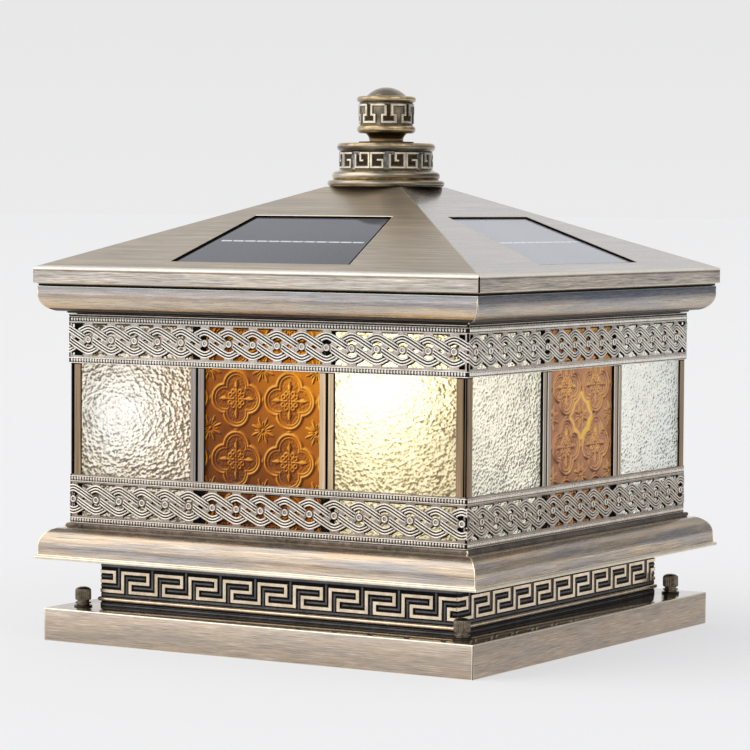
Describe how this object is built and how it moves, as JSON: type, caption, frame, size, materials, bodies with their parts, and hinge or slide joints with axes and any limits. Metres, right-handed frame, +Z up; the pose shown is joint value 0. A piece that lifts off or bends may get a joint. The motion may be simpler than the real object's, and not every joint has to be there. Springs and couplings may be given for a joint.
{
  "type": "solar pillar light",
  "caption": "Square solar lantern for a pillar: hipped roof with inset solar panels, clear and amber glass panes, pierced bands and a screw-down finial.",
  "frame": {"origin": "centre of the underside, on the surface that the light stands on", "axes": "+Z up through the finial, -Y out of the front side, +X out of the right side"},
  "size_m": [0.31, 0.31, 0.3379],
  "materials": {
    "antique_brass_sheet": "brass-plated steel sheet, aged and brushed",
    "antique_brass": "aged brass with bright ridges and dark ground",
    "dark_bronze": "dark aged brass, turned",
    "screw_brass": "dark aged brass, knurled",
    "screw_washer": "dark aged brass",
    "black_sheet": "satin black",
    "black_rubber": "matt rubber",
    "galvanised_steel": "zinc plated",
    "aluminium_sheet": "mill finish sheet",
    "spring_steel": "bright spring steel",
    "aluminium": "cast",
    "circuit_board": "green solder mask",
    "led_chip": "phosphor",
    "opal_diffuser": "opal, lit from inside",
    "black_plastic": "moulded",
    "red_plastic": "moulded",
    "battery_wrap": "plain shrink wrap",
    "lead_insulation": "soft insulation",
    "solar_glass": "dark cells under glass",
    "clear_hammered_glass": "hammered, clear",
    "amber_glass": "pressed pattern, amber"
  },
  "bodies": {
    "bracket": {"mounting_bracket": "galvanised_steel"},
    "lantern": {"base_tray": "antique_brass_sheet", "lower_cornice": "antique_brass_sheet", "upper_cornice": "antique_brass_sheet", "window_frame_front": "antique_brass_sheet", "window_frame_right": "antique_brass_sheet", "window_frame_back": "antique_brass_sheet", "window_frame_left": "antique_brass_sheet", "lower_band": "antique_brass", "upper_band": "antique_brass", "plinth_fret": "antique_brass", "plinth_box": "black_sheet", "tie_rod": "galvanised_steel", "rod_nuts": "galvanised_steel", "floor_pan": "aluminium_sheet", "ceiling_plate": "aluminium_sheet", "glass_clips": "spring_steel", "led_heat_sink": "aluminium", "led_board": "circuit_board", "controller_board": "circuit_board", "led_chips": "led_chip", "led_diffuser": "opal_diffuser", "battery_holder": "black_plastic", "connector_socket": "black_plastic", "switch_housing": "black_plastic", "battery_cells": "battery_wrap", "internal_leads": "lead_insulation", "pane_front_left": "clear_hammered_glass", "pane_front_right": "clear_hammered_glass", "pane_front_amber": "amber_glass", "pane_right_left": "clear_hammered_glass", "pane_right_right": "clear_hammered_glass", "pane_right_amber": "amber_glass", "pane_back_left": "clear_hammered_glass", "pane_back_right": "clear_hammered_glass", "pane_back_amber": "amber_glass", "pane_left_left": "clear_hammered_glass", "pane_left_right": "clear_hammered_glass", "pane_left_amber": "amber_glass"},
    "roof": {"roof_shell": "antique_brass_sheet", "panel_clips": "spring_steel", "panel_leads": "lead_insulation", "connector_plug": "black_plastic", "finial_drum": "dark_bronze", "solar_panel_front": "solar_glass", "solar_panel_right": "solar_glass", "solar_panel_back": "solar_glass", "solar_panel_left": "solar_glass"},
    "finial_washer": {"finial_washer": "black_rubber"},
    "finial_knob": {"finial_knob": "dark_bronze"},
    "battery_lid": {"battery_lid": "black_plastic"},
    "power_button": {"power_button": "red_plastic"},
    "thumb_washer_fl": {"thumb_washer_fl": "screw_washer"},
    "thumb_screw_fl": {"thumb_screw_fl": "screw_brass"},
    "thumb_washer_fr": {"thumb_washer_fr": "screw_washer"},
    "thumb_screw_fr": {"thumb_screw_fr": "screw_brass"},
    "thumb_washer_br": {"thumb_washer_br": "screw_washer"},
    "thumb_screw_br": {"thumb_screw_br": "screw_brass"},
    "thumb_washer_bl": {"thumb_washer_bl": "screw_washer"},
    "thumb_screw_bl": {"thumb_screw_bl": "screw_brass"}
  },
  "joints": [
    {"name": "lantern_lift", "type": "slide", "parent": "bracket", "child": "lantern", "axis": [0, 0, 1], "range_m": [0, 0.06]},
    {"name": "screw_rise_fl", "type": "slide", "parent": "lantern", "child": "thumb_washer_fl", "axis": [0, 0, 1], "range_m": [0, 0.014]},
    {"name": "screw_turn_fl", "type": "hinge", "parent": "thumb_washer_fl", "child": "thumb_screw_fl", "pos_m": [-0.133, -0.133, 0.02], "axis": [0, 0, 1], "range_deg": [0, 5040]},
    {"name": "screw_rise_fr", "type": "slide", "parent": "lantern", "child": "thumb_washer_fr", "axis": [0, 0, 1], "range_m": [0, 0.014]},
    {"name": "screw_turn_fr", "type": "hinge", "parent": "thumb_washer_fr", "child": "thumb_screw_fr", "pos_m": [0.133, -0.133, 0.02], "axis": [0, 0, 1], "range_deg": [0, 5040]},
    {"name": "screw_rise_br", "type": "slide", "parent": "lantern", "child": "thumb_washer_br", "axis": [0, 0, 1], "range_m": [0, 0.014]},
    {"name": "screw_turn_br", "type": "hinge", "parent": "thumb_washer_br", "child": "thumb_screw_br", "pos_m": [0.133, 0.133, 0.02], "axis": [0, 0, 1], "range_deg": [0, 5040]},
    {"name": "screw_rise_bl", "type": "slide", "parent": "lantern", "child": "thumb_washer_bl", "axis": [0, 0, 1], "range_m": [0, 0.014]},
    {"name": "screw_turn_bl", "type": "hinge", "parent": "thumb_washer_bl", "child": "thumb_screw_bl", "pos_m": [-0.133, 0.133, 0.02], "axis": [0, 0, 1], "range_deg": [0, 5040]},
    {"name": "roof_lift", "type": "slide", "parent": "lantern", "child": "roof", "axis": [0, 0, 1], "range_m": [0, 0.09]},
    {"name": "finial_rise", "type": "slide", "parent": "roof", "child": "finial_washer", "axis": [0, 0, 1], "range_m": [0, 0.018]},
    {"name": "finial_turn", "type": "hinge", "parent": "finial_washer", "child": "finial_knob", "pos_m": [0, 0, 0.3043], "axis": [0, 0, 1], "range_deg": [0, 5184]},
    {"name": "battery_lid_slide", "type": "slide", "parent": "lantern", "child": "battery_lid", "axis": [1, 0, 0], "range_m": [0, 0.06]},
    {"name": "power_button_press", "type": "slide", "parent": "lantern", "child": "power_button", "axis": [0, 0, -1], "range_m": [0, 0.0025], "stiffness_N_per_m": 400, "springref_m": -0.002}
  ],
  "couplings": [
    {"joint": "screw_turn_fl", "follows": "screw_rise_fl", "rad_per_m": 6283.2},
    {"joint": "screw_turn_fr", "follows": "screw_rise_fr", "rad_per_m": 6283.2},
    {"joint": "screw_turn_br", "follows": "screw_rise_br", "rad_per_m": 6283.2},
    {"joint": "screw_turn_bl", "follows": "screw_rise_bl", "rad_per_m": 6283.2},
    {"joint": "finial_turn", "follows": "finial_rise", "rad_per_m": 5026.5}
  ]
}
